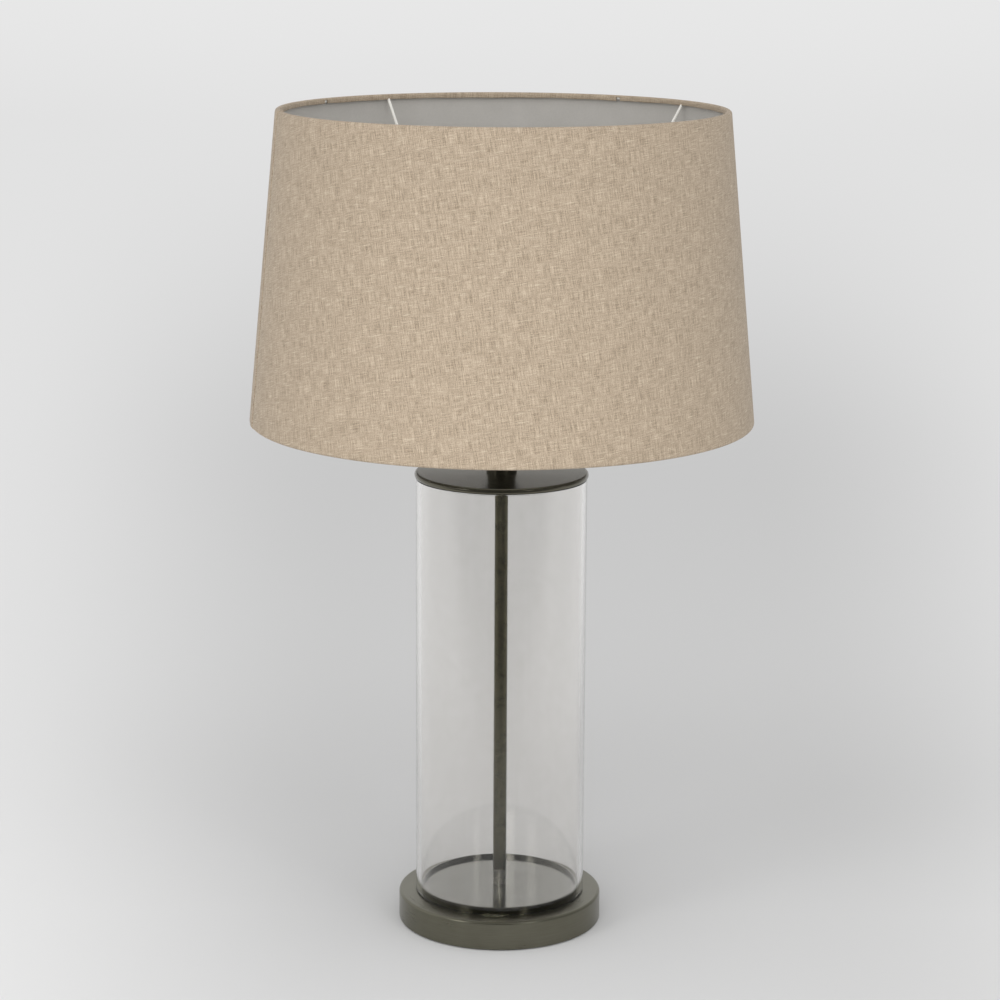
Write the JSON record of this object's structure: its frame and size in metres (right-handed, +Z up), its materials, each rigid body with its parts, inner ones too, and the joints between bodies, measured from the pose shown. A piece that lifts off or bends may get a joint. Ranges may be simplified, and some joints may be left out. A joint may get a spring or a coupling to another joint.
{
  "type": "table lamp",
  "caption": "Table lamp: clear glass column on a round dark metal base, metal stem and cap inside and on top, tapered linen drum shade on wire spokes.",
  "frame": {"origin": "middle of the foot, on the table", "axes": "+Z up along the stem, +Y to the back where the lead enters"},
  "size_m": [0.4496, 0.4495, 0.7435],
  "materials": {
    "felt": "matt pressed felt",
    "zinc_steel": "zinc plated",
    "dark_bronze": "brushed dark bronze, lacquered",
    "cast_iron": "rough cast",
    "black_plastic": "fine moulded grain",
    "polished_tray": "satin polished, turned",
    "pale_collar": "turned",
    "stem_bronze": "dark bronze tube",
    "clear_glass": "clear, melted edges",
    "cap_bronze": "polished dark bronze",
    "holder_bronze": "dark bronze",
    "ring_bronze": "dark bronze",
    "holder_ceramic": "unglazed",
    "brass": "bright",
    "solder_tip": "soft solder",
    "black_glass": "opaque",
    "bulb_cap_metal": "rolled",
    "frosted_glass": "frosted inside",
    "linen": "slubbed natural linen",
    "shade_lining": "smooth white film",
    "white_wire": "white powder coat",
    "white_plastic": "moulded",
    "tinned_tag": "tinned",
    "brown_sleeve": "smooth sleeve",
    "blue_sleeve": "smooth sleeve",
    "green_sleeve": "smooth sleeve with a yellow line"
  },
  "bodies": {
    "base": {"felt_pad": "felt", "base_cover": "zinc_steel", "cover_screws": "zinc_steel", "base_shell": "dark_bronze", "base_weight": "cast_iron", "cord_bush": "black_plastic", "lower_washer": "zinc_steel", "lower_nut": "zinc_steel", "stem_rod": "zinc_steel", "seat_tray": "polished_tray", "stem_collar": "pale_collar", "stem_tube": "stem_bronze", "glass_sleeve": "clear_glass", "cap_disc": "cap_bronze", "cap_washer": "zinc_steel", "cap_nut": "zinc_steel", "holder_cup": "cap_bronze", "holder_dome": "holder_bronze", "holder_skirt": "holder_bronze", "holder_insert": "holder_ceramic", "screw_shell": "brass", "centre_contact": "brass", "holder_terminals": "brass", "holder_screws": "zinc_steel", "terminal_block": "white_plastic", "terminal_screws": "zinc_steel", "block_screw": "zinc_steel", "earth_tag": "tinned_tag", "earth_screw": "zinc_steel", "live_core": "brown_sleeve", "neutral_core": "blue_sleeve", "earth_core": "green_sleeve"},
    "shade": {"shade_cover": "linen", "shade_lining": "shade_lining", "top_ring": "white_wire", "bottom_ring": "white_wire", "carrier_ring": "white_wire", "shade_spokes": "white_wire"},
    "ring_lift": {"ring_washer": "zinc_steel"},
    "ring_turn": {"shade_ring": "ring_bronze"},
    "bulb_lift": {"bulb_contact": "solder_tip"},
    "bulb_turn": {"bulb_glass": "frosted_glass", "bulb_cap": "bulb_cap_metal", "bulb_insulator": "black_glass"}
  },
  "joints": [
    {"name": "shade_spin", "type": "hinge", "parent": "base", "child": "shade", "pos_m": [0, 0, 0.487], "axis": [0, 0, 1], "continuous": true},
    {"name": "ring_lift", "type": "slide", "parent": "base", "child": "ring_lift", "axis": [0, 0, 1], "range_m": [0, 0.0175]},
    {"name": "ring_turn", "type": "hinge", "parent": "ring_lift", "child": "ring_turn", "pos_m": [0, 0, 0.4935], "axis": [0, 0, 1], "range_deg": [0, 2520]},
    {"name": "bulb_lift", "type": "slide", "parent": "base", "child": "bulb_lift", "axis": [0, 0, 1], "range_m": [0, 0.01815]},
    {"name": "bulb_turn", "type": "hinge", "parent": "bulb_lift", "child": "bulb_turn", "pos_m": [0, 0, 0.49], "axis": [0, 0, 1], "range_deg": [0, 1800]}
  ],
  "couplings": [
    {"joint": "ring_lift", "follows": "ring_turn", "m_per_rad": 0.00039789},
    {"joint": "bulb_lift", "follows": "bulb_turn", "m_per_rad": 0.00057757}
  ]
}
